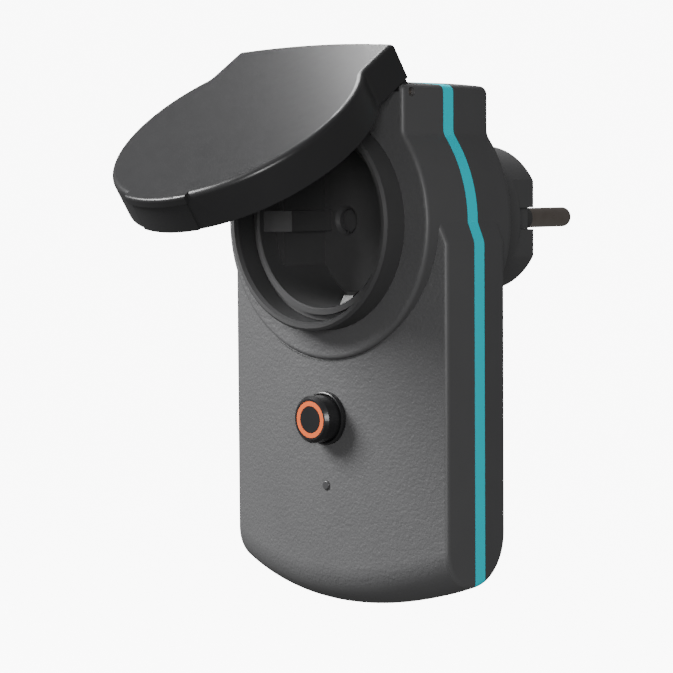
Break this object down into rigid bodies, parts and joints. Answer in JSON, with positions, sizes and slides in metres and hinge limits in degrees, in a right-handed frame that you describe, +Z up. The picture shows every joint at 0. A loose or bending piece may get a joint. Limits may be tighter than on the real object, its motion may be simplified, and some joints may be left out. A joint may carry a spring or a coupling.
{
  "type": "smart plug",
  "caption": "Outdoor smart plug adapter with a lidded earthed socket on a rounded block, a press button, a bright band round its middle and a two-pin plug on its back.",
  "frame": {"origin": "centre of the plug's end face, on the shared axis of plug and socket", "axes": "+Y along the pins into the wall, +Z up, +X to the right for a person facing the socket"},
  "size_m": [0.0664, 0.1299, 0.1282],
  "materials": {
    "front_shell": "fine grained dark grey",
    "rear_shell": "dark grey satin",
    "accent": "turquoise satin",
    "lid_shell": "dark grey satin",
    "black_insert": "black",
    "seal": "matt",
    "pin_metal": "nickel plated",
    "brass": "bare",
    "earth_metal": "tinned",
    "button_black": "satin",
    "orange_ring": "translucent orange",
    "clear_pipe": "smoked clear",
    "circuit_board": "green solder mask",
    "component": "black moulded",
    "relay_case": "blue moulded",
    "can_metal": "tinned shield"
  },
  "bodies": {
    "housing": {"front_housing": "front_shell", "accent_band": "accent", "rear_housing": "rear_shell", "housing_seal": "seal", "socket_collar": "black_insert", "socket_pot": "black_insert", "shutter_spring": "earth_metal", "earth_bracket": "earth_metal", "contact_live": "brass", "contact_neutral": "brass", "contact_block": "black_insert", "pin_live": "pin_metal", "pin_neutral": "pin_metal", "pin_carrier": "rear_shell", "pin_sleeves": "black_insert", "plug_earth_strap": "earth_metal", "live_busbar": "brass", "neutral_busbar": "brass", "board": "circuit_board", "relay": "relay_case", "power_module": "component", "radio_module": "can_metal", "capacitor": "component", "fuse": "component", "varistor": "relay_case", "status_led": "clear_pipe", "light_pipe": "clear_pipe", "button_bezel": "button_black", "button_spring": "earth_metal", "tact_switch": "component", "hinge_pin": "pin_metal", "housing_screws": "earth_metal", "board_screws": "earth_metal"},
    "lid": {"lid": "lid_shell", "lid_seal": "seal"},
    "button": {"button_cap": "button_black", "button_ring": "orange_ring", "switch_plunger": "component"},
    "shutter": {"shutter": "black_insert"}
  },
  "joints": [
    {"name": "lid_hinge", "type": "hinge", "parent": "housing", "child": "lid", "pos_m": [0, -0.0546, 0.029], "axis": [-1, 0, 0], "range_deg": [-56.3, 40]},
    {"name": "button_press", "type": "slide", "parent": "housing", "child": "button", "axis": [0, 1, 0], "range_m": [0, 0.001], "stiffness_N_per_m": 900, "deforming": ["button_spring"]},
    {"name": "shutter_turn", "type": "hinge", "parent": "housing", "child": "shutter", "pos_m": [0, -0.0365, 0], "axis": [0, 1, 0], "range_deg": [0, 38], "stiffness_Nm_per_rad": 0.01}
  ]
}
